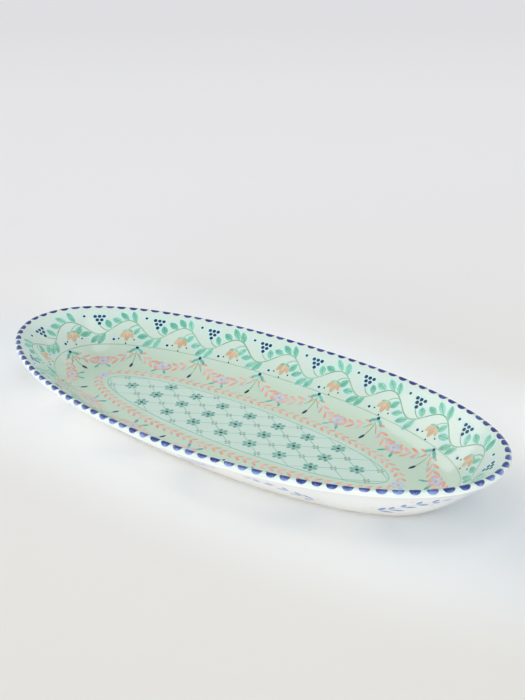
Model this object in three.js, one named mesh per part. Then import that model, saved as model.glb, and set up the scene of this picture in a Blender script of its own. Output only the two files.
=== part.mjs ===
// Oblong serving dish: a shallow oval of pale earthenware with a flared wall and a rolled lip
// that rises towards both ends. It stands on a bare foot ring. A mint glaze lines the inside,
// a white glaze covers the outside, and a white patch closes the base inside the foot ring.
// Millimetres, +Z up, X along the dish, origin on the table under its middle.
import * as THREE from "three";

// Overall form
const rimLength = 460;
const rimWidth = 208;
const sideHeight = 40.5; // crest of the lip at the middle of the long sides
const endRise = 5.5; // how much higher the crest stands at the two ends
const planFullness = 2.1; // exponent of the oval plan: 2 is a plain ellipse

// Heel and foot
const heelLength = 368; // where the line of the outer wall meets the underside
const heelWidth = 123;
const heelRadius = 4;
const footHeight = 1.6; // clear height of the glazed underside above the table
const footRingWidth = 7;
const footChamfer = 0.5;

// Clay and glaze
const lipThickness = 5.2;
const heelThickness = 5.8; // wall at the heel, from outside to inside
const floorThickness = 5.4;
const wellRadius = 34; // round between the floor and the inner wall
const glazeThickness = 0.5;
const bondGap = 0.2; // hairline between a coat, the clay and the next coat
const glazeMeet = THREE.MathUtils.degToRad(55); // where the two coats meet, round the lip's section

// Facets
const segments = 72; // round the oval
const floorRows = 2;
const wellRows = 5;
const wallRows = 4;
const lipInnerRows = 3;
const lipOuterRows = 5;
const heelRows = 3;

// The half-section lies in a plane of half-width and height. The wall is bounded by two lines
// that both touch the round of the lip: the outer from the heel, the inner from inside the heel.
const quarterTurn = Math.PI / 2;
const lipRadius = lipThickness / 2;
const lipCentre = new THREE.Vector2(rimWidth / 2 - lipRadius, sideHeight - lipRadius);
const heelCorner = new THREE.Vector2(heelWidth / 2, footHeight);
const floorTop = footHeight + floorThickness;

function angleTouchingLip(from, side) {
  const reach = lipCentre.clone().sub(from);
  return reach.angle() + side * Math.asin(lipRadius / reach.length());
}

const outerAngle = angleTouchingLip(heelCorner, -1);
const insideHeel = new THREE.Vector2(-Math.sin(outerAngle), Math.cos(outerAngle))
  .multiplyScalar(heelThickness)
  .add(heelCorner);
const innerAngle = angleTouchingLip(insideHeel, 1);
const wellCorner = insideHeel.x - (insideHeel.y - floorTop) / Math.tan(innerAngle);
const wellCentre = new THREE.Vector2(
  wellCorner - wellRadius * Math.tan(innerAngle / 2),
  floorTop + wellRadius,
);
const heelCentre = new THREE.Vector2(
  heelCorner.x - heelRadius * Math.tan(outerAngle / 2),
  footHeight + heelRadius,
);

// Inside, from the middle of the floor to a place on the lip, at a depth below the surface
function insideRows(depth, lipEnd) {
  const path = new THREE.Path();
  path.moveTo(0, floorTop - depth);
  path.lineTo(wellCentre.x, floorTop - depth);
  path.absarc(wellCentre.x, wellCentre.y, wellRadius + depth, -quarterTurn, innerAngle - quarterTurn);
  path.absarc(lipCentre.x, lipCentre.y, lipRadius - depth, innerAngle + quarterTurn, lipEnd, true);
  return sample(path, [floorRows, wellRows, wallRows, lipInnerRows]);
}

// Outside, from a place on the lip down round the heel to the underside
function outsideRows(depth, lipStart) {
  const path = new THREE.Path();
  path.absarc(lipCentre.x, lipCentre.y, lipRadius - depth, lipStart, outerAngle - quarterTurn, true);
  path.absarc(heelCentre.x, heelCentre.y, heelRadius - depth, outerAngle - quarterTurn, -quarterTurn, true);
  return sample(path, [lipOuterRows, wallRows, heelRows]);
}

// Points along a path, with a chosen number of steps on each of its lines and arcs
function sample(path, steps) {
  const points = path.curves.flatMap((curve, i) => curve.getPoints(steps[i]));
  return points.filter((point, i) => i === 0 || point.distanceTo(points[i - 1]) > 1e-6);
}

// Oval plan: every half-width has its own half-length, so the flare at the ends can differ
const endFlare = (rimLength - heelLength) / (rimWidth - heelWidth);

function planPoint(halfWidth, turn) {
  const halfLength = rimLength / 2 - (rimWidth / 2 - halfWidth) * endFlare;
  const full = (value) => Math.sign(value) * Math.abs(value) ** (2 / planFullness);
  return new THREE.Vector2(halfLength * full(Math.cos(turn)), halfWidth * full(Math.sin(turn)));
}

// The wall climbs towards the ends: nothing at the floor, all of the rise from the lip's foot up
function riseAt(x, height) {
  const climb = THREE.MathUtils.smoothstep(height, floorTop, sideHeight - lipThickness);
  return endRise * climb * (x / (rimLength / 2)) ** 2;
}

// A half-section turned round the oval, clockwise from above, so that one written from the inside
// over the lip faces out. A section that starts and ends on the middle line closes along it.
function turnOval(section) {
  const geometry = new THREE.LatheGeometry(section, segments);
  const position = geometry.getAttribute("position");
  for (let i = 0; i < position.count; i++) {
    const { x: halfWidth, y: height } = section[i % section.length];
    const turn = (Math.floor(i / section.length) / segments) * -2 * Math.PI;
    const plan = planPoint(halfWidth, turn);
    position.setXYZ(i, plan.x, plan.y, height + riseAt(plan.x, height));
  }
  geometry.computeVertexNormals();
  return geometry;
}

function piece(name, section, color, roughness) {
  const material = new THREE.MeshStandardMaterial({ color, roughness, metalness: 0 });
  const mesh = new THREE.Mesh(turnOval(section), material);
  mesh.name = name;
  return mesh;
}

const meetHalfGap = bondGap / 2 / lipRadius; // as an angle round the lip
const clayDepth = glazeThickness + bondGap;
const ringOuter = heelCentre.x - bondGap;
const ringInner = ringOuter - footRingWidth;
const ringTop = footHeight + clayDepth - bondGap;

// Clay shell, one coat and a hairline below the glazed surface all over
function clayBody() {
  const section = [
    ...insideRows(clayDepth, glazeMeet),
    ...outsideRows(clayDepth, glazeMeet).slice(1),
    new THREE.Vector2(ringInner, footHeight + clayDepth),
    new THREE.Vector2(0, footHeight + clayDepth),
  ];
  return piece("clay_body", section, 0xe4d9c8, 0.85);
}

// Mint lining, from the middle of the floor up over the crest of the lip
function innerGlaze() {
  const lipEnd = glazeMeet + meetHalfGap;
  const section = [...insideRows(0, lipEnd), ...insideRows(glazeThickness, lipEnd).reverse()];
  return piece("inner_glaze", section, 0xc6e2d2, 0.15);
}

// White jacket, from the lip down to where the foot ring begins
function outerGlaze() {
  const lipStart = glazeMeet - meetHalfGap;
  const face = outsideRows(0, lipStart);
  const section = [...outsideRows(glazeThickness, lipStart).reverse(), ...face];
  section.push(section[0]);
  return piece("outer_glaze", section, 0xf2f1ea, 0.18);
}

// White patch under the floor, inside the foot ring
function baseGlaze() {
  const edge = ringInner - bondGap;
  const section = [
    new THREE.Vector2(0, footHeight + glazeThickness),
    new THREE.Vector2(edge, footHeight + glazeThickness),
    new THREE.Vector2(edge, footHeight),
    new THREE.Vector2(0, footHeight),
  ];
  return piece("base_glaze", section, 0xf2f1ea, 0.2);
}

// Bare ring that the dish stands on, with its lower edges wiped round
function footRing() {
  const section = [
    new THREE.Vector2(ringInner, ringTop),
    new THREE.Vector2(ringOuter, ringTop),
    new THREE.Vector2(ringOuter, footChamfer),
    new THREE.Vector2(ringOuter - footChamfer, 0),
    new THREE.Vector2(ringInner + footChamfer, 0),
    new THREE.Vector2(ringInner, footChamfer),
    new THREE.Vector2(ringInner, ringTop),
  ];
  return piece("foot_ring", section, 0xd9c8ae, 0.9);
}

const dish = new THREE.Group();
dish.name = "oblong_serving_dish";
dish.add(clayBody(), footRing(), innerGlaze(), outerGlaze(), baseGlaze());

export default dish;
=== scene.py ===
import bisect
import math
import random

import bmesh
import bpy
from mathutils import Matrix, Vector, noise
from mathutils.bvhtree import BVHTree


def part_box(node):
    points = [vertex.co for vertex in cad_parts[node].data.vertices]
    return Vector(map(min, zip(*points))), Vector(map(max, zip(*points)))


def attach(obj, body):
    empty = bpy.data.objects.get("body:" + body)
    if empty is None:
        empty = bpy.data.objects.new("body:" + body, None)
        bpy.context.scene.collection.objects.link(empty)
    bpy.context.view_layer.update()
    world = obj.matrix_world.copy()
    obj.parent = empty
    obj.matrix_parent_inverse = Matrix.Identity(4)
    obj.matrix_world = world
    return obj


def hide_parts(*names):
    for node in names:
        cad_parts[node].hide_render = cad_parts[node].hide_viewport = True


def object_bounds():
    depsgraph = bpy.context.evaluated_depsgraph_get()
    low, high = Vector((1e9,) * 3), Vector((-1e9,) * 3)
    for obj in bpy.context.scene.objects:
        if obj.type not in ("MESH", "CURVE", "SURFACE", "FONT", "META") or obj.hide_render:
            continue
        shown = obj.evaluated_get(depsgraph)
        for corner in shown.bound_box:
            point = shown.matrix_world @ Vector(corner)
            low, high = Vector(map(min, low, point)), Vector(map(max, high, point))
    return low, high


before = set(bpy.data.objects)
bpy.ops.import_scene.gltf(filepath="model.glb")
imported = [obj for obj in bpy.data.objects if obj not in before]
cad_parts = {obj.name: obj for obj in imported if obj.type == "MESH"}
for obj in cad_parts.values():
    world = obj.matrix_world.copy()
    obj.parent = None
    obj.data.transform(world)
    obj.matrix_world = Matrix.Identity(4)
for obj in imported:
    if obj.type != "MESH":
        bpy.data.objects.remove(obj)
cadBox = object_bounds()
mm = 0.001
quarterTurn = math.pi / 2
dice = random.Random(7)  # all that varies from stroke to stroke comes from this one
print("frame loaded,", len(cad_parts), "CAD nodes")


def vary(amount):
    return dice.uniform(-amount, amount)


def srgb(red, green, blue):  # a colour as a screen shows it
    def linear(value):
        part = value / 255
        return part / 12.92 if part <= 0.04045 else ((part + 0.055) / 1.055) ** 2.4
    return (linear(red), linear(green), linear(blue), 1.0)


def addObject(name, data):
    thing = bpy.data.objects.new(name, data)
    bpy.context.collection.objects.link(thing)
    return thing


# The photograph's view
view = {
    "place": (0.4805, -0.5675, 0.3915),
    "tilt": 66.7,  # degrees, 90 looks level
    "turn": 38.6,
    "lens": 53.85,
}
cameraData = bpy.data.cameras.new("photoCamera")
cameraData.lens = view["lens"]
photoCamera = addObject("photoCamera", cameraData)
photoCamera.location = view["place"]
photoCamera.rotation_euler = (math.radians(view["tilt"]), 0, math.radians(view["turn"]))
bpy.context.scene.camera = photoCamera
bpy.context.scene.view_settings.view_transform = "Standard"
print("camera placed")


# Form of the dish. The overall sizes come from the frame, these are the rest.
form = {
    "lipThickness": 5.2 * mm,
    "heelLength": 368 * mm,
    "heelWidth": 123 * mm,
    "heelRadius": 4 * mm,
    "heelThickness": 5.8 * mm,
    "wellRadius": 34 * mm,  # round between floor and wall
    "endRise": 5.5 * mm,  # how much higher the lip stands at the ends
    "planFullness": 2.1,  # 2 is a plain ellipse
    "coatThickness": 0.5 * mm,
    "coatsMeet": math.radians(55),  # place round the lip's section
    # hand-made unevenness: how much, how fine, and its place in the noise
    "wobbleAside": (0.002, 2.3, 1.5),  # share of the plan
    "wobbleUp": (0.3 * mm, 2.9, 6.5),
    "stepsAround": 288,
    "insideSteps": {"floor": 12, "well": 14, "wall": 14, "lip": 9},
    "outsideSteps": {"lip": 12, "wall": 14, "heel": 7},
    "weld": 0.0001 * mm,
    "crease": math.radians(40),  # sharper edges are not smoothed over
}
rimHalf = cadBox[1]  # half length, half width and height at the ends
sideHeight = rimHalf.z - form["endRise"]
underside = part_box("base_glaze")[0].z
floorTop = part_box("inner_glaze")[0].z + form["coatThickness"]
lipRadius = form["lipThickness"] / 2
wellRadius = form["wellRadius"]
heelRadius = form["heelRadius"]
lipCentre = Vector((rimHalf.y - lipRadius, sideHeight - lipRadius))
heelCorner = Vector((form["heelWidth"] / 2, underside))


def angleTouchingLip(start, side):
    reach = lipCentre - start
    return math.atan2(reach.y, reach.x) + side * math.asin(lipRadius / reach.length)


outerAngle = angleTouchingLip(heelCorner, -1)
throughWall = Vector((-math.sin(outerAngle), math.cos(outerAngle)))
insideHeel = heelCorner + form["heelThickness"] * throughWall
innerAngle = angleTouchingLip(insideHeel, 1)
wellCorner = insideHeel.x - (insideHeel.y - floorTop) / math.tan(innerAngle)
wellCentre = Vector((wellCorner - wellRadius * math.tan(innerAngle / 2), floorTop + wellRadius))
heelCentre = Vector((heelCorner.x - heelRadius * math.tan(outerAngle / 2), underside + heelRadius))
endFlare = (rimHalf.x - form["heelLength"] / 2) / (rimHalf.y - form["heelWidth"] / 2)


# Half-sections are lists of (half width, height)
def arc(centre, radius, start, end, steps):
    turns = [start + (end - start) * k / steps for k in range(steps + 1)]
    return [centre + radius * Vector((math.cos(turn), math.sin(turn))) for turn in turns]


def straight(start, end, steps):  # without its two ends
    return [start.lerp(end, k / steps) for k in range(1, steps)]


def stepCounts(part, fine):
    return {name: max(2, round(count * fine)) for name, count in form[part].items()}


def insideSection(depth, lipEnd, fine=1.0):
    steps = stepCounts("insideSteps", fine)
    well = arc(wellCentre, wellRadius + depth, -quarterTurn, innerAngle - quarterTurn, steps["well"])
    lip = arc(lipCentre, lipRadius - depth, innerAngle + quarterTurn, lipEnd, steps["lip"])
    middle = Vector((0, floorTop - depth))
    floor = [middle] + straight(middle, well[0], steps["floor"])
    return floor + well + straight(well[-1], lip[0], steps["wall"]) + lip


def outsideSection(depth, lipStart, fine=1.0):
    steps = stepCounts("outsideSteps", fine)
    lip = arc(lipCentre, lipRadius - depth, lipStart, outerAngle - quarterTurn, steps["lip"])
    heel = arc(heelCentre, heelRadius - depth, outerAngle - quarterTurn, -quarterTurn, steps["heel"])
    return lip + straight(lip[-1], heel[0], steps["wall"]) + heel


def pathLengths(points):
    lengths = [0.0]
    for first, second in zip(points, points[1:]):
        lengths.append(lengths[-1] + (second - first).length)
    return lengths


def pointAlong(points, lengths, distance):
    k = min(max(bisect.bisect_right(lengths, distance) - 1, 0), len(points) - 2)
    share = (distance - lengths[k]) / (lengths[k + 1] - lengths[k])
    return points[k].lerp(points[k + 1], share)


def wobble(setting, across, along):
    amount, fineness, place = form[setting]
    return amount * noise.noise(Vector((fineness * across, fineness * along, place)))


def halfLengthAt(halfWidth):
    return rimHalf.x - (rimHalf.y - halfWidth) * endFlare


def ovalPoint(halfWidth, height, turn):
    halfLength = halfLengthAt(halfWidth)
    if halfWidth < wellCentre.x:  # the flat floor shrinks evenly to its middle
        halfLength = halfLengthAt(wellCentre.x) * halfWidth / wellCentre.x
    power = 2 / form["planFullness"]
    across = math.cos(turn)
    along = math.sin(turn)
    x = halfLength * math.copysign(abs(across) ** power, across)
    y = halfWidth * math.copysign(abs(along) ** power, along)
    climb = min(1, max(0, (height - floorTop) / (sideHeight - form["lipThickness"] - floorTop)))
    climb = climb * climb * (3 - 2 * climb)
    aside = 1 + climb * wobble("wobbleAside", across, along)
    rise = climb * form["endRise"] * (x / rimHalf.x) ** 2
    return Vector((x * aside, y * aside, height + rise + climb * wobble("wobbleUp", across, along)))


# The map for baked textures: a turned strip, cut in rows one above another
def layOutRows(bm, along, total, rows, edge=0.01):
    layer = bm.loops.layers.uv.new("OFBake")

    def fit(share):  # leaves a little room at both ends
        return edge + (1 - 2 * edge) * share

    for face in bm.faces:
        middle = face.calc_center_median()
        turn = math.atan2(middle.y, middle.x) % math.tau
        row = int(turn / math.tau * rows)
        reaches = [vert[along] for vert in face.verts]
        closes = max(reaches) - min(reaches) > total / 2  # from the section's end to its start
        for loop in face.loops:
            spot = loop.vert.co
            aside = turn + math.remainder(math.atan2(spot.y, spot.x) - turn, math.tau)
            reach = loop.vert[along] + (total if closes and loop.vert[along] < total / 2 else 0)
            loop[layer].uv = (fit(aside / math.tau * rows - row), (row + fit(reach / total)) / rows)


def turnOval(section, closed=False, steps=form["stepsAround"], marks=(), rows=0):
    bm = bmesh.new()
    down = bm.verts.layers.float.new("down")  # the spin carries these marks round
    along = bm.verts.layers.float.new("along")
    corners = [bm.verts.new((point.x, 0, point.y)) for point in section]
    lengths = pathLengths(section + section[:1])
    for corner, length in zip(corners, lengths):
        corner[along] = length
    for corner, mark in zip(corners, marks):
        corner[down] = mark
    following = corners[1:] + (corners[:1] if closed else [])
    edges = [bm.edges.new(pair) for pair in zip(corners, following)]
    bmesh.ops.spin(
        bm, geom=corners + edges, cent=(0, 0, 0), axis=(0, 0, 1),
        angle=math.tau, steps=steps, use_merge=True,
    )
    bmesh.ops.remove_doubles(bm, verts=bm.verts[:], dist=form["weld"])
    if rows:
        layOutRows(bm, along, lengths[-1], rows)
    for vert in bm.verts:
        x, y, height = vert.co
        vert.co = ovalPoint(math.hypot(x, y), height, math.atan2(y, x))
    bmesh.ops.recalc_face_normals(bm, faces=bm.faces[:])
    return bm


def finishPiece(name, bm, material, node=None):
    mesh = bpy.data.meshes.new(name)
    bm.normal_update()
    bm.to_mesh(mesh)
    bm.free()
    mesh.shade_smooth()
    mesh.set_sharp_from_angle(angle=form["crease"])
    mesh.materials.append(material)
    piece = addObject(name, mesh)
    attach(piece, "root")
    if node:
        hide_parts(node)


# A socket that takes part in Python sums, and the one way that nodes are made
class Wire:
    def __init__(self, tree, socket=None):
        self.tree = tree
        self.socket = socket

    def node(self, kind, settings, sockets, out=0):
        made = self.tree.nodes.new(kind)
        for name, value in settings.items():
            setattr(made, name, value)
        for key, value in sockets.items():
            if isinstance(value, Wire):
                self.tree.links.new(value.socket, made.inputs[key])
            else:
                made.inputs[key].default_value = value
        return Wire(self.tree, made.outputs[out] if made.outputs else None)

    def sum(self, operation, first, second):
        return self.node("ShaderNodeMath", {"operation": operation}, {0: first, 1: second})

    def __add__(self, other):
        return self.sum("ADD", self, other)

    def __sub__(self, other):
        return self.sum("SUBTRACT", self, other)

    def __rsub__(self, other):
        return self.sum("SUBTRACT", other, self)

    def __mul__(self, other):
        return self.sum("MULTIPLY", self, other)

    def __truediv__(self, other):
        return self.sum("DIVIDE", self, other)

    def __rtruediv__(self, other):
        return self.sum("DIVIDE", other, self)

    def __pow__(self, other):
        return self.sum("POWER", self, other)

    def __rpow__(self, other):
        return self.sum("POWER", other, self)

    __radd__ = __add__
    __rmul__ = __mul__

    def ramp(self, low, high):  # 0 at low, 1 at high, eased
        values = {"Value": self, "From Min": low, "From Max": high}
        return self.node("ShaderNodeMapRange", {"interpolation_type": "SMOOTHSTEP"}, values)

    def blend(self, first, second):  # colours, self is the share of the second
        return self.node("ShaderNodeMix", {"data_type": "RGBA"}, {0: self, 6: first, 7: second}, 2)

    def attribute(self, name):
        return self.node("ShaderNodeAttribute", {"attribute_name": name}, {}, "Fac")

    def place(self):
        return self.node("ShaderNodeTexCoord", {}, {}, "Object")

    def part(self, axis):
        return self.node("ShaderNodeSeparateXYZ", {}, {0: self}, axis)

    def cloud(self, scale, detail=3.0, roughness=0.55):
        values = {"Vector": self, "Scale": scale, "Detail": detail, "Roughness": roughness}
        return self.node("ShaderNodeTexNoise", {}, values)

    def scaled(self, least, gain):
        return least + gain * self

    def bump(self, strength, distance):
        values = {"Strength": strength, "Distance": distance, "Height": self}
        return self.node("ShaderNodeBump", {}, values)


def newMaterial(name):
    material = bpy.data.materials.new(name)
    material.use_nodes = True
    material.node_tree.nodes.clear()
    return material, Wire(material.node_tree)


def surface(m, values):
    shader = m.node("ShaderNodeBsdfPrincipled", {}, values)
    m.node("ShaderNodeOutputMaterial", {}, {"Surface": shader})


# What all the glazed and painted surfaces share
glaze = {"ior": 1.45, "gloss": 0.5, "coatIor": 1.5, "coatRoughness": 0.12}


def glazedSurface(m, colour, roughness, normal, coat, gloss=glaze["gloss"]):
    surface(m, {
        "Base Color": colour, "Roughness": roughness, "Normal": normal,
        "Specular IOR Level": gloss, "IOR": glaze["ior"],
        "Coat Weight": coat, "Coat Roughness": glaze["coatRoughness"], "Coat IOR": glaze["coatIor"],
    })


# Clay inside the coats, and the bare foot
clay = {
    "pale": srgb(232, 226, 215),
    "buff": srgb(219, 208, 192),
    "speck": srgb(172, 150, 124),
    "patches": (34.0, 3.0),  # patterns have a number per metre, a detail and maybe a roughness
    "buffEdge": (0.3, 0.7),
    "grain": (520.0, 4.0, 0.7),
    "specks": (884.0, 1.0),
    "speckEdge": (0.66, 0.74),
    "specksInside": 0.2,  # how clearly they show
    "specksOnFoot": 0.6,
    "roughness": (0.78, 0.16),  # least, and what a pattern adds
    "bump": (0.5, 0.15 * mm),  # strength and height
    "fineness": 0.6,  # the clay is hidden, so it has fewer steps
    "stepsAround": 144,
}


def clayMaterial(name, speckAmount):
    material, m = newMaterial(name)
    place = m.place()
    grain = place.cloud(*clay["grain"])
    specks = place.cloud(*clay["specks"]).ramp(*clay["speckEdge"])
    colour = place.cloud(*clay["patches"]).ramp(*clay["buffEdge"]).blend(clay["pale"], clay["buff"])
    colour = (specks * speckAmount).blend(colour, clay["speck"])
    roughness = grain.scaled(*clay["roughness"])
    normal = grain.bump(*clay["bump"])
    surface(m, {"Base Color": colour, "Roughness": roughness, "Normal": normal})
    return material


foot = {
    "round": 0.6 * mm,  # wiped lower edges
    "roundSteps": 4,
    "seatDepth": 0.25 * mm,  # how far the ring goes up into the clay
}
coatDepth = form["coatThickness"]
meet = form["coatsMeet"]
clayBottom = underside + coatDepth
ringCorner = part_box("foot_ring")[1]
ringOuter = ringCorner.y
ringInner = ringOuter - (ringCorner.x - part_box("base_glaze")[1].x) / endFlare
claySection = insideSection(coatDepth, meet, clay["fineness"])
claySection += outsideSection(coatDepth, meet, clay["fineness"])[1:]
claySection += [Vector((ringInner, clayBottom)), Vector((0, clayBottom))]
clayMesh = turnOval(claySection, steps=clay["stepsAround"])
finishPiece("clayShell", clayMesh, clayMaterial("buffClay", clay["specksInside"]), "clay_body")

ringTop = clayBottom + foot["seatDepth"]
ringSection = [Vector((ringInner, ringTop)), Vector((ringOuter, ringTop))]
outerEdge = Vector((ringOuter - foot["round"], foot["round"]))
innerEdge = Vector((ringInner + foot["round"], foot["round"]))
ringSection += arc(outerEdge, foot["round"], 0, -quarterTurn, foot["roundSteps"])
ringSection += arc(innerEdge, foot["round"], -quarterTurn, -math.pi, foot["roundSteps"])
ringMesh = turnOval(ringSection, True)
finishPiece("footRing", ringMesh, clayMaterial("bareFoot", clay["specksOnFoot"]), "foot_ring")
print("clay and foot done")


# Path over the lip: distance from the crest, inwards above zero and outwards below
crest = quarterTurn  # place round the lip's section
inwards = insideSection(0, crest)[::-1]
outwards = outsideSection(0, crest)


def sectionAt(distance):
    points = inwards if distance >= 0 else outwards
    return pointAlong(points, pathLengths(points), abs(distance))


# The whole glazed skin, only to lay paint on
skin = turnOval(insideSection(0, meet) + outsideSection(0, meet)[1:])
skinTree = BVHTree.FromBMesh(skin)
skin.free()


def settle(point):  # nearest place on the skin, and the way it faces
    return skinTree.find_nearest(point)[:2]


lining = {
    "pale": srgb(200, 216, 207),
    "wash": srgb(195, 218, 193),
    "aqua": srgb(204, 227, 216),
    "freckle": srgb(222, 236, 228),  # pinholes and thin places in the coat
    "freckles": (1300.0, 1.0),
    "freckleEdge": (0.64, 0.78),
    "freckleAmount": 0.45,
    "spots": (26.0, 4.0),
    "swells": (42.0, 2.0),
    "brushRound": 9.0,  # brush marks run round the dish
    "brushDown": 420.0,
    "brushRoughness": 0.6,
    "washReach": (10 * mm, 62 * mm),  # from the crest
    "washAmount": (0.12, 0.62),
    "washUneven": 0.5,
    "pool": (146 * mm, 35 * mm),  # half axes of the aqua oval on the floor
    "poolEdge": (0.8, 1.12),
    "poolUneven": 0.5,
    "poolAmount": 0.85,
    "roughness": (0.3, 0.14),
    "relief": (0.7, 0.3, 0.04),  # shares of swells, brush marks and freckles
    "bump": (0.35, 0.5 * mm),
    "coat": 0.8,
}


def liningMaterial():
    material, m = newMaterial("mintGlaze")
    place = m.place()
    x = place.part("X")
    y = place.part("Y")
    down = m.attribute("down")
    spots = place.cloud(*lining["spots"])
    rings = {"X": x * lining["brushRound"], "Y": y * lining["brushRound"], "Z": down * lining["brushDown"]}
    brush = m.node("ShaderNodeCombineXYZ", {}, rings).cloud(1.0, roughness=lining["brushRoughness"])
    wash = down.ramp(*lining["washReach"]).scaled(*lining["washAmount"])
    wash = wash + lining["washUneven"] * (brush + spots - 1)
    colour = wash.ramp(0.0, 1.0).blend(lining["pale"], lining["wash"])
    oval = (x / lining["pool"][0]) ** 2.0 + (y / lining["pool"][1]) ** 2.0
    pool = 1 - (oval + lining["poolUneven"] * (spots - 0.5)).ramp(*lining["poolEdge"])
    colour = (lining["poolAmount"] * pool).blend(colour, lining["aqua"])
    freckles = place.cloud(*lining["freckles"]).ramp(*lining["freckleEdge"])
    colour = (lining["freckleAmount"] * freckles).blend(colour, lining["freckle"])
    swellShare, brushShare, freckleShare = lining["relief"]
    uneven = swellShare * place.cloud(*lining["swells"]) + brushShare * brush - freckleShare * freckles
    roughness = spots.scaled(*lining["roughness"])
    glazedSurface(m, colour, roughness, uneven.bump(*lining["bump"]), lining["coat"])
    return material


overLip = lipRadius * (crest - meet)  # the lining ends just past the crest
liningFace = insideSection(0, meet)
liningBack = insideSection(coatDepth, meet)[::-1]
fromCrest = [length - overLip for length in pathLengths(liningFace[::-1])][::-1]
liningMesh = turnOval(liningFace + liningBack, marks=fromCrest + fromCrest[::-1])
finishPiece("mintLining", liningMesh, liningMaterial(), "inner_glaze")
print("lining done")


jacket = {
    "white": srgb(245, 245, 244),
    "cream": srgb(243, 242, 238),
    "creamEdge": (0.35, 0.75),
    "cool": srgb(239, 243, 246),
    "coolEdge": (0.5, 0.75),
    "coolAmount": 0.5,
    "speck": srgb(206, 196, 182),  # iron specks of the clay that show through
    "specks": (620.0, 1.0),
    "speckEdge": (0.74, 0.8),
    "speckAmount": 0.5,
    "mint": srgb(210, 227, 220),  # runs over the lip from inside
    "mintReach": (3.4 * mm, 5.8 * mm),
    "mintUneven": 2 * mm,
    "mintAmount": 0.85,
    "drifts": (17.0, 3.0),
    "spots": (60.0, 4.0),
    "swells": (38.0, 2.0),
    "ripples": (300.0, 2.0),
    "relief": (0.7, 0.3),  # shares of swells and ripples
    "roughness": (0.32, 0.12),
    "bump": (0.3, 0.5 * mm),
    "coat": 0.7,
    "mapRows": 3,
    "patchSteps": 10,  # the patch on the base wears the same glaze
    "patchFromLip": 60 * mm,
}


def jacketMaterial(name):
    material, m = newMaterial(name)
    place = m.place()
    drifts = place.cloud(*jacket["drifts"])
    spots = place.cloud(*jacket["spots"])
    colour = drifts.ramp(*jacket["creamEdge"]).blend(jacket["white"], jacket["cream"])
    colour = (jacket["coolAmount"] * spots.ramp(*jacket["coolEdge"])).blend(colour, jacket["cool"])
    specks = place.cloud(*jacket["specks"]).ramp(*jacket["speckEdge"])
    colour = (jacket["speckAmount"] * specks).blend(colour, jacket["speck"])
    border = m.attribute("down") + jacket["mintUneven"] * (spots - 0.5)
    mint = 1 - border.ramp(*jacket["mintReach"])
    colour = (jacket["mintAmount"] * mint).blend(colour, jacket["mint"])
    swellShare, rippleShare = jacket["relief"]
    uneven = swellShare * place.cloud(*jacket["swells"]) + rippleShare * place.cloud(*jacket["ripples"])
    roughness = spots.scaled(*jacket["roughness"])
    glazedSurface(m, colour, roughness, uneven.bump(*jacket["bump"]), jacket["coat"])
    return material


jacketFace = outsideSection(0, meet)
jacketBack = outsideSection(coatDepth, meet)[::-1]
fromCrest = [length + overLip for length in pathLengths(jacketFace)]
fromCrest += fromCrest[::-1]
jacketMesh = turnOval(jacketFace + jacketBack, True, marks=fromCrest, rows=jacket["mapRows"])
finishPiece("whiteJacket", jacketMesh, jacketMaterial("whiteGlaze"), "outer_glaze")

patchEdge = Vector((ringInner, underside))
patchMiddle = Vector((0, underside))
patchSection = [Vector((0, clayBottom)), Vector((ringInner, clayBottom)), patchEdge]
patchSection += straight(patchEdge, patchMiddle, jacket["patchSteps"]) + [patchMiddle]
patchMesh = turnOval(patchSection, marks=[jacket["patchFromLip"]] * len(patchSection))
finishPiece("basePatch", patchMesh, jacketMaterial("baseGlaze"), "base_glaze")
print("jacket and base done")


# Paint: low mounds laid on the skin. Tone differs from stroke to stroke, load runs along a stroke,
# and edge is 1 at a stroke's border.
paint = {
    "depth": 0.16 * mm,  # of a stroke, part of it sunk in the glaze
    "dabLift": 0.09 * mm,  # crown above the border
    "lineLift": 0.07 * mm,
    "haloLift": 0.03 * mm,
    "dabSides": 12,
    "shoulder": 0.32,  # from a dab's border inwards
    "shoulderLift": 0.75,
    "shoulderEdge": 0.3,
    "pointed": 0.6,  # how sharply leaves and drops run out
    "narrows": 3,  # more keeps a line wide for longer
    "streaks": (900.0, 2.0),
    "patches": (198.0, 2.0),
    "edgeFade": 3.0,  # more keeps a soft border narrower
    "amount": 0.57,  # share of full colour, and what changes it
    "runGain": 0.45,
    "toneGain": 0.4,
    "streakGain": 0.7,
    "patchGain": 0.8,
    "roughness": (0.3, 0.15),
    "bump": (0.25, 0.1 * mm),
    "coat": 0.3,
    "gloss": 0.25,
    "lap": 1.004,  # a stroke that goes on runs a little over the next
    "lineSteps": 720,  # of a level line round the dish
    "slopeStep": 1 * mm,  # to find which way a line goes
}
# how high a stroke starts that lies over another
over = {
    "halo": 0.03 * mm, "husk": 0.04 * mm, "stem": 0.05 * mm, "swag": 0.07 * mm,
    "petal": 0.08 * mm, "leaf": 0.09 * mm, "bud": 0.12 * mm,
}


def newPaint():
    bm = bmesh.new()
    for name in ("tone", "load", "edge"):
        bm.verts.layers.float.new(name)
    return bm


def layDown(bm, vert, point, height, tone, load, edge):
    layers = bm.verts.layers.float
    place, normal = settle(point)
    vert.co = place + normal * height
    vert[layers["tone"]] = tone
    vert[layers["load"]] = load
    vert[layers["edge"]] = edge


# Outlines take a place in the unit disc
def roundOutline(x, y):
    return x, y


def leafOutline(x, y):
    return x, y * abs(y / max(math.hypot(x, y), 1e-9)) ** paint["pointed"]


def dropOutline(x, y):
    return x, y * (0.5 + 0.5 * x) ** paint["pointed"]


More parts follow.
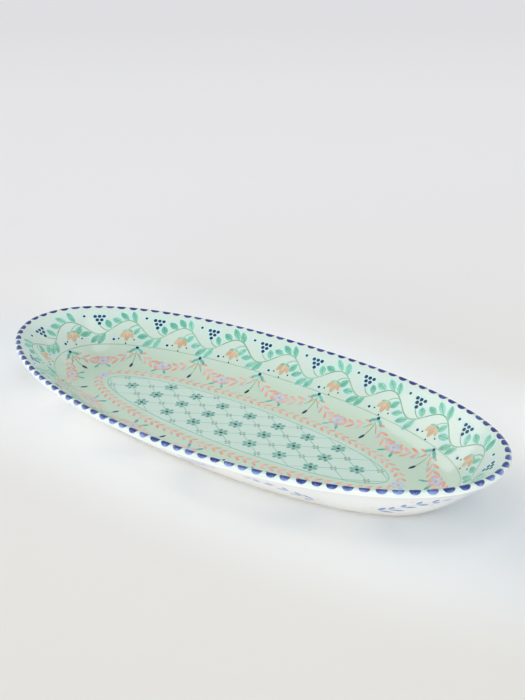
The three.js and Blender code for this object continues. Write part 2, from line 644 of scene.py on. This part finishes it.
def dab(bm, place, heading, size, outline=roundOutline, base=0.0, lift=paint["dabLift"]):
    length, width = size
    place, normal = settle(place)
    heading = (heading - normal * heading.dot(normal)).normalized()
    across = normal.cross(heading)
    rim = bmesh.ops.create_circle(bm, cap_ends=True, segments=paint["dabSides"], radius=1)["verts"]
    face = rim[0].link_faces[0]
    bmesh.ops.inset_individual(bm, faces=[face], thickness=paint["shoulder"])
    shoulder = face.verts[:]
    crown = bmesh.ops.poke(bm, faces=[face])["verts"]
    tone = dice.random()
    rings = ((rim, 0, 1), (shoulder, paint["shoulderLift"], paint["shoulderEdge"]), (crown, 1, 0))
    for verts, share, edge in rings:
        for vert in verts:
            x, y = outline(vert.co.x, vert.co.y)
            point = place + heading * (x * length / 2) + across * (y * width / 2)
            layDown(bm, vert, point, base + share * lift, tone, 0.5 + 0.5 * x, edge)


def dabRing(bm, place, along, down, ring, base=0.0, first=0.0):
    count, room, size = ring
    for k in range(count):
        heading = turned(along, down, 360 * k / count + first)
        dab(bm, place + heading * room, heading, size, base=base)


def brushLine(bm, path, stroke, base=0.0, taper=0.5):
    width, steps = stroke
    grid = bmesh.ops.create_grid(bm, x_segments=steps, y_segments=2, size=0.5)["verts"]
    tone = dice.random()
    small = 0.002
    for vert in grid:
        share = vert.co.x + 0.5
        side = round(vert.co.y * 2)
        place, normal = settle(path(share))
        ahead = path(min(1, share + small)) - path(max(0, share - small))
        across = normal.cross(ahead).normalized()
        half = width / 2 * (1 - taper * abs(2 * share - 1) ** paint["narrows"])
        height = base + (0 if side else paint["lineLift"])
        layDown(bm, vert, place + across * (half * side), height, tone, share, abs(side))


def finishPaint(name, bm, material):
    bm.normal_update()
    bmesh.ops.solidify(bm, geom=bm.faces[:], thickness=paint["depth"])
    bmesh.ops.recalc_face_normals(bm, faces=bm.faces[:])
    finishPiece(name, bm, material)


def pigment(name, colours, ground, soft, run=paint["runGain"]):
    full, thin = colours
    material, m = newMaterial(name)
    place = m.place()
    streak = place.cloud(*paint["streaks"])
    patch = place.cloud(*paint["patches"])
    amount = paint["amount"] + run * (m.attribute("load") - 0.5)
    amount = amount + paint["toneGain"] * (m.attribute("tone") - 0.5)
    amount = amount + paint["streakGain"] * (streak - 0.5) + paint["patchGain"] * (patch - 0.5)
    colour = amount.ramp(0.0, 1.0).blend(thin, full)
    colour = (soft * m.attribute("edge") ** paint["edgeFade"]).blend(colour, ground)
    roughness = streak.scaled(*paint["roughness"])
    glazedSurface(m, colour, roughness, patch.bump(*paint["bump"]), paint["coat"], paint["gloss"])
    return material


# A level line round the dish at a distance from the crest, and places on it or below it
def levelLine(distance):
    middle = sectionAt(distance)
    steps = paint["lineSteps"]
    points = [ovalPoint(middle.x, middle.y, math.tau * k / steps) for k in range(steps + 1)]
    return {"points": points, "lengths": pathLengths(points), "away": 1 if distance >= 0 else -1}


def onLine(line, share, drop=0.0):
    total = line["lengths"][-1]
    distance = (share % 1) * total
    point, before, after = (
        pointAlong(line["points"], line["lengths"], min(max(distance + step, 0), total))
        for step in (0, -paint["slopeStep"], paint["slopeStep"])
    )
    along = (after - before).normalized()
    place, normal = settle(point)
    down = line["away"] * normal.cross(along)
    if drop:
        place, normal = settle(place + down * drop)
        down = line["away"] * normal.cross(along).normalized()
    return place, along, down


def turned(along, down, degrees):
    return along * math.cos(math.radians(degrees)) + down * math.sin(math.radians(degrees))


# Blue dashes round the lip
dashes = {
    "count": 100,
    "cover": 0.75,  # share of the pitch
    "inwards": 2.5 * mm,
    "outwards": 3.3 * mm,
    "roundIn": 0.45,  # corners: 0 is square, 0.5 an oval
    "roundOut": 0.48,
    "base": 0.1 * mm,
    "lift": 0.08 * mm,
    "steps": {"x_segments": 6, "y_segments": 8},
    "lengthVaries": (0.92, 1.06),
    "placeVaries": 0.05,
    "reachVaries": (0.9, 1.1),
    "edgeFade": 4,
    "fullFrom": 1.1,  # more keeps the full colour further down a dash
    "cobalt": (srgb(24, 44, 118), srgb(146, 168, 222)),  # full and thin, as in all pigments
    "soft": 0.15,
    "run": 0.8,
}
dashPaint = newPaint()
crestLine = levelLine(0)
crestSpot = sectionAt(0)
up = Vector((0, 0, 1))
for k in range(dashes["count"]):
    grid = bmesh.ops.create_grid(dashPaint, size=1, **dashes["steps"])["verts"]
    length = dashes["cover"] * dice.uniform(*dashes["lengthVaries"])
    middle = k + vary(dashes["placeVaries"])
    reach = dice.uniform(*dashes["reachVaries"])
    tone = dice.random()
    for vert in grid:
        edge = max(abs(vert.co.x), abs(vert.co.y)) ** dashes["edgeFade"]
        corner = dashes["roundIn"] if vert.co.y > 0 else dashes["roundOut"]
        x = vert.co.x * math.sqrt(1 - corner * vert.co.y ** 2)
        y = vert.co.y * math.sqrt(1 - corner * vert.co.x ** 2)
        spot = sectionAt(y * reach * (dashes["inwards"] if y > 0 else dashes["outwards"])) - crestSpot
        place, along, down = onLine(crestLine, (middle + x * length / 2) / dashes["count"])
        point = place + along.cross(up) * spot.x + up * spot.y
        height = dashes["base"] + dashes["lift"] * (1 - edge)
        layDown(dashPaint, vert, point, height, tone, min(1, dashes["fullFrom"] + y), edge)
cobalt = pigment("cobalt", dashes["cobalt"], jacket["mint"], dashes["soft"], dashes["run"])
finishPaint("rimDashes", dashPaint, cobalt)
print("rim dashes done")


# Running vine on the upper wall, with berries in its upper hollows and buds in its lower ones.
# A phase is a share of one wave, a drop is measured from the vine's level down the wall.
vine = {
    "level": 21 * mm,  # from the crest
    "waves": 18,
    "swing": 7.5 * mm,
    "stemStroke": (1.1 * mm, 36),  # strokes have a width and a number of steps
    "stalkStroke": (0.88 * mm, 12),
    "berryStalk": {"start": 0.07, "end": 0.25, "endDrop": -2.0 * mm, "arch": 2.0 * mm},
    "budStalk": {"start": 0.57, "end": 0.75, "endDrop": 2.0 * mm, "arch": -2.0 * mm},
    # phase, side of the stem, angle to the level line, size
    "leaves": (
        (0.05, -1, 58, 0.8), (0.13, 1, 62, 1.0), (0.24, 1, 40, 1.0), (0.37, 1, 18, 0.85),
        (0.55, 1, 58, 0.8), (0.63, -1, 62, 1.0), (0.74, -1, 40, 1.0), (0.87, -1, 18, 0.85),
    ),
    "leafLength": 12.4 * mm,
    "leafWidth": 6.0 * mm,
    "leafRoom": 0.55,  # from the stem to its middle, in lengths
    "leafHalo": (1.22, 1.5),  # in the leaf's lengths and widths
    "phaseVaries": 0.012,
    "angleVaries": 8,
    "lengthVaries": (0.92, 1.08),
    "widthVaries": (0.9, 1.08),
    "veinFrom": -0.45,  # from a leaf's middle, in lengths
    "veinLength": 0.8,
    "veinStroke": (0.55 * mm, 5),
    "veinTaper": 0.7,
    "berryDrop": -3.4 * mm,
    "berry": 3.5 * mm,
    "berryVaries": (0.88, 1.0),
    "berryHalo": 1.9,
    "berryStep": 4.1 * mm,
    "berryRows": 3,
    "rowStep": 0.87,
    "budLeaves": ((52, 0.86), (128, 0.86), (90, 1.0)),  # angle and size
    "budSize": (11.4 * mm, 5.6 * mm),
    "tongueRoom": 0.4,  # coral stroke in the bud, in its lengths
    "tongueLength": 0.55,
    "tongueWidth": 1.6 * mm,
    "seed": (1.7 * mm, 1.5 * mm),
    "seedRoom": 1.9 * mm,
    "sepals": ((20, 160), 2.4 * mm, (5.6 * mm, 2.6 * mm)),  # angles, room and size
    "dots": ((0.48, -11.5 * mm), (0.98, 12.0 * mm)),  # phase and drop
    "dot": 2.6 * mm,
    "band": 37 * mm,  # fine line below the vine, from the crest
    "bandStroke": (0.77 * mm, 240),
    "stem": (srgb(112, 160, 128), srgb(160, 196, 170)),
    "leaf": (srgb(96, 172, 144), srgb(158, 216, 194)),
    "halo": (srgb(182, 222, 224), srgb(196, 228, 227)),
    "navy": (srgb(12, 20, 54), srgb(40, 56, 104)),
    "tan": (srgb(192, 166, 132), srgb(216, 196, 166)),
    "vein": (srgb(56, 122, 98), srgb(92, 156, 132)),
}
vineLine = levelLine(vine["level"])
stems, leaves, veins, halos, berries, buds, husks, beads = (newPaint() for k in range(8))


def vineSpot(phase, drop):
    return onLine(vineLine, phase / vine["waves"], drop)


def vineDrop(phase):
    return vine["swing"] * math.sin(math.tau * phase)


def stemSpot(wave, phase):
    return vineSpot(wave + phase, vineDrop(phase))


def stalk(wave, start, end, endDrop, arch):
    startDrop = vineDrop(start)

    def path(share):
        drop = startDrop + (endDrop - startDrop) * share + arch * 4 * share * (1 - share)
        return vineSpot(wave + start + (end - start) * share, drop)[0]

    brushLine(stems, path, vine["stalkStroke"], over["halo"])


def dottedHalo(place, heading, size):
    room = size * vine["berryHalo"]
    dab(halos, place, heading, (room, room), lift=paint["haloLift"])
    dab(berries, place, heading, (size, size * dice.uniform(*vine["berryVaries"])), base=over["halo"])


def veinedLeaf(middle, heading, length, width):
    def vein(share):
        return middle + heading * (length * (vine["veinFrom"] + vine["veinLength"] * share))

    haloLength, haloWidth = vine["leafHalo"]
    haloSize = (length * haloLength, width * haloWidth)
    dab(halos, middle, heading, haloSize, leafOutline, lift=paint["haloLift"])
    dab(leaves, middle, heading, (length, width), leafOutline, over["halo"])
    brushLine(veins, vein, vine["veinStroke"], over["leaf"], vine["veinTaper"])


def vineLeaf(wave, phase, side, angle, size):
    place, along, down = stemSpot(wave, phase + vary(vine["phaseVaries"]))
    heading = turned(along, down, side * (angle + vary(vine["angleVaries"])))
    length = vine["leafLength"] * size * dice.uniform(*vine["lengthVaries"])
    width = vine["leafWidth"] * dice.uniform(*vine["widthVaries"])
    veinedLeaf(place + heading * (length * vine["leafRoom"]), heading, length, width)


def berryCluster(place, along, down):
    for row in range(vine["berryRows"]):
        for k in range(row + 1):
            spot = along * (k - row / 2) - down * (row * vine["rowStep"])
            dottedHalo(place + spot * vine["berryStep"], along, vine["berry"])


def budOnStalk(place, along, down):
    budLength, budWidth = vine["budSize"]
    for angle, full in vine["budLeaves"]:
        heading = turned(along, down, angle)
        length = budLength * full
        size = (length, budWidth * full)
        dab(buds, place + heading * (length / 2), heading, size, leafOutline, over["stem"])
        dab(berries, place + heading * (length + vine["seedRoom"]), heading, vine["seed"])
    tongue = (budLength * vine["tongueLength"], vine["tongueWidth"])
    dab(husks, place + down * (budLength * vine["tongueRoom"]), down, tongue, leafOutline, over["bud"])
    angles, room, sepal = vine["sepals"]
    for angle in angles:
        heading = turned(along, down, angle)
        dab(leaves, place + heading * room, heading, sepal, leafOutline, over["husk"])


for wave in range(vine["waves"]):
    brushLine(
        stems, lambda share: stemSpot(wave, paint["lap"] * share)[0],
        vine["stemStroke"], over["halo"], taper=0,
    )
    for leaf in vine["leaves"]:
        vineLeaf(wave, *leaf)
    stalk(wave, **vine["berryStalk"])
    berryCluster(*vineSpot(wave + vine["berryStalk"]["end"], vine["berryDrop"]))
    stalk(wave, **vine["budStalk"])
    budOnStalk(*vineSpot(wave + vine["budStalk"]["end"], vine["budStalk"]["endDrop"]))
    for phase, drop in vine["dots"]:
        place, along, down = vineSpot(wave + phase, drop)
        dottedHalo(place, along, vine["dot"])
bandLine = levelLine(vine["band"])
brushLine(stems, lambda share: onLine(bandLine, paint["lap"] * share)[0], vine["bandStroke"], taper=0)
print("vine done")


# Two leaves that spread from a line, in sizes from the piece's own settings
def leafPair(bm, place, ahead, kind, longer=1.0, wider=1.0, base=0.0):
    spread, give = kind["spread"]
    fullLength, width = kind["leafSize"]
    aside = settle(place)[1].cross(ahead)
    for side in (-1, 1):
        heading = turned(ahead, aside, side * (spread + vary(give)))
        length = fullLength * longer * dice.uniform(*kind["leafVaries"])
        middle = place + heading * (length * kind["leafRoom"])
        dab(bm, middle, heading, (length, width * wider), leafOutline, base)


# Swags of coral husks on the lower wall, tied up by green tassels
swag = {
    "level": 40 * mm,
    "count": 14,
    "sag": 15.5 * mm,
    "husks": 10,  # pairs on a swag
    "huskLeast": 0.72,  # size at the ends of a swag
    "huskGain": 0.38,  # fuller at its bottom
    "leafSize": (9.2 * mm, 2.9 * mm),
    "leafRoom": 0.5,
    "leafVaries": (0.9, 1.1),
    "spread": (36, 6),  # degrees from the swag's line, and how much they vary
    "bead": 2.6 * mm,
    "petals": (5, 3.3 * mm, (4.6 * mm, 3.68 * mm)),  # count, room from the middle and size
    "petalTurn": 18,
    "centre": (3.0 * mm, 2.9 * mm),
    "floretLeaves": ((58, 122), 9.6 * mm, (8.2 * mm, 3.2 * mm)),
    "knotDrop": -1.0 * mm,
    "knot": 3.4 * mm,
    "tassel": 22 * mm,
    "tasselVaries": (0.94, 1.06),
    "tasselStroke": (0.9 * mm, 10),
    "tasselLeaves": ((38, 142), 4.6 * mm, (9.6 * mm, 3.6 * mm)),
    "bud": (7.6 * mm, 2.8 * mm),
    "strandAngle": 42,  # of two side strands with a drop at the end
    "strandFrom": 5 * mm,
    "strand": 11 * mm,
    "strandStroke": (0.8 * mm, 6),
    "dropRoom": 12.5 * mm,
    "drop": (5.0 * mm, 2.6 * mm),
    "coral": (srgb(228, 156, 130), srgb(235, 198, 180)),
    "lilac": (srgb(182, 194, 220), srgb(206, 214, 228)),
}
swagLine = levelLine(swag["level"])
nearby = 0.02  # share of a swag or twig, to find which way it goes


def lilacFloret(place, along, down):
    dabRing(beads, place, along, down, swag["petals"], over["swag"], swag["petalTurn"])
    dab(buds, place, along, swag["centre"], base=over["bud"])


def greenLeaves(place, along, down, angles, room, size):
    for angle in angles:
        heading = turned(along, down, angle)
        veinedLeaf(place + heading * room, heading, *size)


def swagSpot(place):
    share = place % 1
    return onLine(swagLine, place / swag["count"], swag["sag"] * 4 * share * (1 - share))


def huskPair(k, share):
    place = swagSpot(k + share)[0]
    towards = 1 if share < 0.5 else -1  # both halves run down to the middle
    ahead = swagSpot(k + share + nearby)[0] - swagSpot(k + share - nearby)[0]
    ahead = ahead.normalized() * towards
    full = swag["huskLeast"] + swag["huskGain"] * math.sin(math.pi * share)
    leafPair(husks, place, ahead, swag, full, full)
    dab(beads, place, ahead, (swag["bead"] * full, swag["bead"] * full), base=over["husk"])


def tasselBetween(k):
    def below(drop):
        return onLine(swagLine, k / swag["count"], drop)

    knot, along, down = below(swag["knotDrop"])
    reach = swag["tassel"] * dice.uniform(*swag["tasselVaries"])
    brushLine(stems, lambda share: below(reach * share)[0], swag["tasselStroke"], over["halo"])
    greenLeaves(knot, along, down, *swag["tasselLeaves"])
    dottedHalo(knot, along, swag["knot"])
    end, along, down = below(reach)
    dab(berries, end, down, swag["bud"], leafOutline, over["halo"])
    start = knot + down * swag["strandFrom"]
    for side in (-1, 1):
        heading = turned(along, down, 90 + side * swag["strandAngle"])
        strand = heading * swag["strand"]
        brushLine(stems, lambda share: start + strand * share, swag["strandStroke"], over["halo"])
        dab(beads, start + heading * swag["dropRoom"], heading, swag["drop"], dropOutline, over["halo"])


for k in range(swag["count"]):
    for j in range(swag["husks"]):
        huskPair(k, (j + 0.5) / swag["husks"])
    lowest = swagSpot(k + 0.5)
    lilacFloret(*lowest)
    greenLeaves(*lowest, *swag["floretLeaves"])
    tasselBetween(k)
print("swags done")


# Fine trellis with small florets on the floor of the well
trellis = {
    "halfLength": 142 * mm,
    "halfWidth": 32 * mm,
    "stepLength": 29 * mm,  # between crossings along and across
    "stepWidth": 18 * mm,
    "lineStroke": (0.8 * mm, 16),
    "edgeRoom": (1.03, 1.08),  # florets keep this much clear of the border
    "petals": (6, 3.9 * mm, (4.6 * mm, 3.4 * mm)),
    "turnVaries": 14,
    "centre": (3.2 * mm, 2.88 * mm),
    "dots": (4, 2.1 * mm, (2.0 * mm, 1.8 * mm)),  # round a bead at every other crossing
    "bead": (2.0 * mm, 2.0 * mm),
    "line": (srgb(116, 180, 166), srgb(156, 204, 194)),
    "leaf": (srgb(92, 158, 146), srgb(138, 192, 180)),
    "dark": (srgb(18, 48, 56), srgb(48, 88, 88)),
}
lines, petals, centres = (newPaint() for k in range(3))
halfLength = trellis["halfLength"]
halfWidth = trellis["halfWidth"]
slope = trellis["stepWidth"] / trellis["stepLength"]


def trellisLine(start, lean):  # y = lean * slope * (x - start), its two ends lie on the oval
    steep = (slope / halfWidth) ** 2
    square = 1 / halfLength ** 2 + steep
    inRoot = square - steep * (start / halfLength) ** 2
    if inRoot <= 0:
        return  # it passes beside the oval
    middle = start * steep / square
    half = math.sqrt(inRoot) / square

    def path(share):
        x = middle + half * (2 * share - 1)
        return Vector((x, lean * slope * (x - start), floorTop))

    brushLine(lines, path, trellis["lineStroke"])


reach = int(halfLength / trellis["stepLength"] + halfWidth / trellis["stepWidth"]) + 1
for k in range(-reach, reach + 1):
    for lean in (-1, 1):
        trellisLine(k * trellis["stepLength"], lean)

# A wreath of coral leaves round it, from one end to the other, with a floret at both
wreath = {
    "lineRoom": 0.2 * mm,  # outside the trellis
    "lineStroke": (0.9 * mm, 160),
    "room": 9.5 * mm,
    "pairs": 88,
    "leafSize": (7.2 * mm, 2.7 * mm),
    "leafRoom": 0.5,
    "leafVaries": (0.9, 1.08),
    "spread": (34, 6),
    "bead": (2.0 * mm, 1.8 * mm),
    "endRoom": (3 * mm, 6 * mm),  # left for a floret where it starts and where it ends
}


def roundTrellis(share, room):
    x = (halfLength + room) * math.cos(math.tau * share)
    return Vector((x, (halfWidth + room) * math.sin(math.tau * share), floorTop))


brushLine(
    lines, lambda share: roundTrellis(paint["lap"] * share, wreath["lineRoom"]),
    wreath["lineStroke"], taper=0,
)
right = Vector((1, 0, 0))
behind = Vector((0, 1, 0))


def insideTrellis(place):
    roomX, roomY = trellis["edgeRoom"]
    return (roomX * place.x / halfLength) ** 2 + (roomY * place.y / halfWidth) ** 2 < 1


def crossingDots(place):
    dabRing(petals, place, right, behind, trellis["dots"])
    dab(husks, place, right, trellis["bead"], base=over["husk"])


def tealFloret(place):
    dabRing(petals, place, right, behind, trellis["petals"], over["halo"], vary(trellis["turnVaries"]))
    dab(centres, place, right, trellis["centre"], base=over["petal"])


stepX = trellis["stepLength"] / 2
stepY = trellis["stepWidth"] / 2
columns = int(halfLength / stepX) + 1
rows = int(halfWidth / stepY) + 1
for i in range(-columns, columns + 1):
    for j in range(-rows, rows + 1):
        place = Vector((i * stepX, j * stepY, floorTop))
        if (i + j) % 2 or not insideTrellis(place):
            continue
        if j % 2:
            crossingDots(place)
        else:
            tealFloret(place)

oval = [roundTrellis(k / paint["lineSteps"], wreath["room"]) for k in range(paint["lineSteps"] + 1)]
ovalLengths = pathLengths(oval)
for k in range(wreath["pairs"]):
    middle = (k + 0.5) / wreath["pairs"] * ovalLengths[-1]
    place = pointAlong(oval, ovalLengths, middle)
    if abs(place.y) < wreath["endRoom"][0 if place.x < 0 else 1]:
        continue
    along = (pointAlong(oval, ovalLengths, middle + paint["slopeStep"]) - place).normalized()
    ahead = along if place.y < 0 else -along
    leafPair(husks, place, ahead, wreath)
    dab(beads, place, ahead, wreath["bead"], base=over["husk"])
for end in (-1, 1):
    place = Vector((end * (halfLength + wreath["room"]), 0, floorTop))
    lilacFloret(place, Vector((0, end, 0)), Vector((-end, 0, 0)))
print("trellis done")


# Sparse leafy twigs on the outside, leaning up from the foot
twig = {
    "level": -33 * mm,
    "count": 12,
    "first": 0.35,  # place of the first, in the space for one
    "length": 46 * mm,
    "rise": 24 * mm,
    "riseVaries": (0.9, 1.1),
    "bend": 3 * mm,
    "stemStroke": (1.0 * mm, 20),
    "pairs": 5,
    "pairsFrom": 0.12,  # share of the twig
    "pairsOver": 0.74,
    "leafSize": (11 * mm, 3.8 * mm),
    "leafRoom": 0.58,
    "leafShrinks": 0.09,  # from pair to pair
    "leafVaries": (0.92, 1.08),
    "spread": (42, 7),
    "endLeaf": (8 * mm, 3.42 * mm),
    "endRoom": 3 * mm,
    "dots": ((0.04, -7 * mm), (0.32, 11 * mm), (0.6, -11 * mm), (0.9, 8 * mm)),  # share and room
    "dot": (2.8 * mm, 2.6 * mm),
    "stem": (srgb(150, 190, 182), srgb(190, 212, 206)),
    "slate": (srgb(84, 112, 176), srgb(158, 178, 214)),
    "coral": (srgb(230, 170, 150), srgb(236, 204, 190)),
}
twigLine = levelLine(twig["level"])
twigStems, twigLeaves, twigDots = (newPaint() for k in range(3))


def leafyTwig(k):
    facing = 1 if k % 2 else -1
    rise = twig["rise"] * dice.uniform(*twig["riseVaries"])

    def twigSpot(share):
        aside = facing * (share - 0.5) * twig["length"] / twigLine["lengths"][-1]
        drop = rise * (0.5 - share) + twig["bend"] * math.sin(math.tau * share)
        return onLine(twigLine, (k + twig["first"]) / twig["count"] + aside, drop)

    brushLine(twigStems, lambda share: twigSpot(share)[0], twig["stemStroke"], over["halo"])
    for j in range(twig["pairs"]):
        share = twig["pairsFrom"] + twig["pairsOver"] * j / (twig["pairs"] - 1)
        ahead = (twigSpot(share + nearby)[0] - twigSpot(share - nearby)[0]).normalized()
        longer = 1 - twig["leafShrinks"] * j
        leafPair(twigLeaves, twigSpot(share)[0], ahead, twig, longer, base=over["halo"])
    end = twigSpot(1.0)[0] + ahead * twig["endRoom"]
    dab(twigLeaves, end, ahead, twig["endLeaf"], leafOutline, over["halo"])
    for share, away in twig["dots"]:
        place, along, down = twigSpot(share)
        dab(twigDots, place + down * away, along, twig["dot"], base=over["halo"])


for k in range(twig["count"]):
    leafyTwig(k)

# Each kind of stroke is one piece: its name, strokes, pigment, colours, ground and soft border
paper = lining["pale"]
insidePaint = (
    ("paleHalos", halos, "paleAqua", vine["halo"], paper, 0.8),
    ("vineStems", stems, "stemGreen", vine["stem"], paper, 0.3),
    ("vineLeaves", leaves, "leafGreen", vine["leaf"], paper, 0.3),
    ("leafVeins", veins, "deepGreen", vine["vein"], vine["leaf"][0], 0.4),
    ("navyBerries", berries, "navy", vine["navy"], vine["halo"][0], 0.12),
    ("tanBuds", buds, "tan", vine["tan"], paper, 0.3),
    ("coralHusks", husks, "coral", swag["coral"], paper, 0.35),
    ("lilacBeads", beads, "lilac", swag["lilac"], paper, 0.3),
    ("trellisLines", lines, "tealLine", trellis["line"], lining["aqua"], 0.4),
    ("floretPetals", petals, "tealPetal", trellis["leaf"], lining["aqua"], 0.3),
    ("floretCentres", centres, "darkTeal", trellis["dark"], lining["aqua"], 0.1),
)
outsidePaint = (
    ("twigStems", twigStems, "paleStem", twig["stem"], jacket["white"], 0.4),
    ("twigLeaves", twigLeaves, "slateBlue", twig["slate"], jacket["white"], 0.4),
    ("twigDots", twigDots, "paleCoral", twig["coral"], jacket["white"], 0.4),
)
for slot, kinds in (("mint_glaze", insidePaint), ("white_glaze", outsidePaint)):
    for name, strokes, pigmentName, colours, ground, soft in kinds:
        finishPaint(name, strokes, pigment(pigmentName, colours, ground, soft))
print("paint done")


# Pale floor with painted light: darker at the front, paler at the back, paler beside the dish and bluish
# under it; and soft studio light
stage = {
    "front": srgb(228, 225, 219),
    "back": srgb(237, 235, 236),
    "farWay": (-0.78, 0.62),  # from the camera towards the back
    "farEdge": (-0.6, 0.9),
    # painted light: the floor under and round the dish is painted paler and bluish, which lifts its shadow
    "under": srgb(228, 234, 238),
    "underReach": (0.21, 0.058),
    "underEdge": (0.5, 2.5),
    # painted bounce light: paler floor in front of and behind the dish, where its shade falls
    "paintedBounce": srgb(249, 250, 249),  # paler beside the dish
    "paintedBounceSpots": (((-0.05, -0.065), (0.17, 0.044)), ((-0.02, 0.15), (0.2, 0.05))),  # middle and reach
    "paintedBounceEdge": (0.2, 2.5),
    "drifts": (3.0, 2.0),
    "driftAmount": 0.3,
    "grain": (350.0, 2.0),
    "roughness": (0.85, 0.1),
    "backdrop": srgb(223, 223, 226),
    "fade": (1.3, 3.2),  # the floor turns into the backdrop between these distances
    "radius": 60.0,
    "sides": 96,
}


def floorMaterial():
    material, m = newMaterial("paleFloor")
    place = m.place()

    def away(middle, reach):
        x = (place.part("X") - middle[0]) / reach[0]
        y = (place.part("Y") - middle[1]) / reach[1]
        return (x ** 2.0 + y ** 2.0) ** 0.5

    # painted light: the floor is painted darker and warmer at the front and paler towards the back
    far = place.part("X") * stage["farWay"][0] + place.part("Y") * stage["farWay"][1]
    far = far + stage["driftAmount"] * (place.cloud(*stage["drifts"]) - 0.5)
    colour = far.ramp(*stage["farEdge"]).blend(stage["front"], stage["back"])
    # painted light: a paler, bluish floor under the dish lifts its shadow
    under = 1 - away((0, 0), stage["underReach"]).ramp(*stage["underEdge"])
    colour = under.blend(colour, stage["under"])
    # painted bounce light: paler spots beside the dish, over its shade
    for middle, reach in stage["paintedBounceSpots"]:
        beside = 1 - away(middle, reach).ramp(*stage["paintedBounceEdge"])
        colour = beside.blend(colour, stage["paintedBounce"])
    roughness = place.cloud(*stage["grain"]).scaled(*stage["roughness"])
    values = {"Base Color": colour, "Roughness": roughness, "Specular IOR Level": 0.0}
    matt = m.node("ShaderNodeBsdfPrincipled", {}, values)
    backdrop = m.node("ShaderNodeEmission", {}, {"Color": stage["backdrop"], "Strength": 1.0})
    fade = away((0, 0), (1, 1)).ramp(*stage["fade"])
    mixed = m.node("ShaderNodeMixShader", {}, {0: fade, 1: matt, 2: backdrop})
    m.node("ShaderNodeOutputMaterial", {}, {"Surface": mixed})
    return material


floorMesh = bmesh.new()
bmesh.ops.create_circle(floorMesh, cap_ends=True, segments=stage["sides"], radius=stage["radius"])
floorData = bpy.data.meshes.new("paleFloor")
floorMesh.to_mesh(floorData)
floorMesh.free()
floorData.materials.append(floorMaterial())
paleFloor = addObject("paleFloor", floorData)

# Wide soft lamps, by the way that their light goes, and one overhead that glows in the glaze
lamps = {
    "key": {"towards": (0.90, 0.24, -0.36), "spread": 50, "power": 1.1, "colour": (1.0, 0.985, 0.965)},
    "fill": {"towards": (-0.36, 0.92, -0.11), "spread": 28, "power": 2.08, "colour": (1.0, 1.0, 1.0)},
    "back": {"towards": (-0.42, -0.58, -0.70), "spread": 70, "power": 0.75, "colour": (0.96, 0.98, 1.0)},
}
sunDistance = 2
overhead = {"place": (0.14, -0.26, 1.15), "size": 0.36, "power": 0.9}


def addLamp(name, kind, place, towards):
    light = bpy.data.lights.new(name, kind)
    holder = addObject(name, light)
    holder.location = place
    holder.rotation_euler = Vector(towards).to_track_quat("-Z", "Y").to_euler()
    return light


for name, lamp in lamps.items():
    light = addLamp(name, "SUN", -sunDistance * Vector(lamp["towards"]), lamp["towards"])
    light.angle = math.radians(lamp["spread"])
    light.energy = lamp["power"]
    light.color = lamp["colour"]
light = addLamp("overhead", "AREA", overhead["place"], (0, 0, -1))
light.size = overhead["size"]
light.energy = overhead["power"]

# The dish is lit by the sky, and rays that show the surroundings see the plain backdrop
sky = {"light": (0.95, 0.98, 1.005, 1.0), "strength": 0.58, "seen": stage["backdrop"]}
world = bpy.data.worlds.new("studio")
world.use_nodes = True
world.node_tree.nodes.clear()
w = Wire(world.node_tree)
rays = ("Is Camera Ray", "Is Glossy Ray", "Is Transmission Ray")
direct, glossy, through = (w.node("ShaderNodeLightPath", {}, {}, ray) for ray in rays)
lit = w.node("ShaderNodeBackground", {}, {"Color": sky["light"], "Strength": sky["strength"]})
seen = w.node("ShaderNodeBackground", {}, {"Color": sky["seen"], "Strength": 1.0})
mixed = w.node("ShaderNodeMixShader", {}, {0: direct + glossy + through, 1: lit, 2: seen})
w.node("ShaderNodeOutputWorld", {}, {"Surface": mixed})
bpy.context.scene.world = world
print("floor and light done")
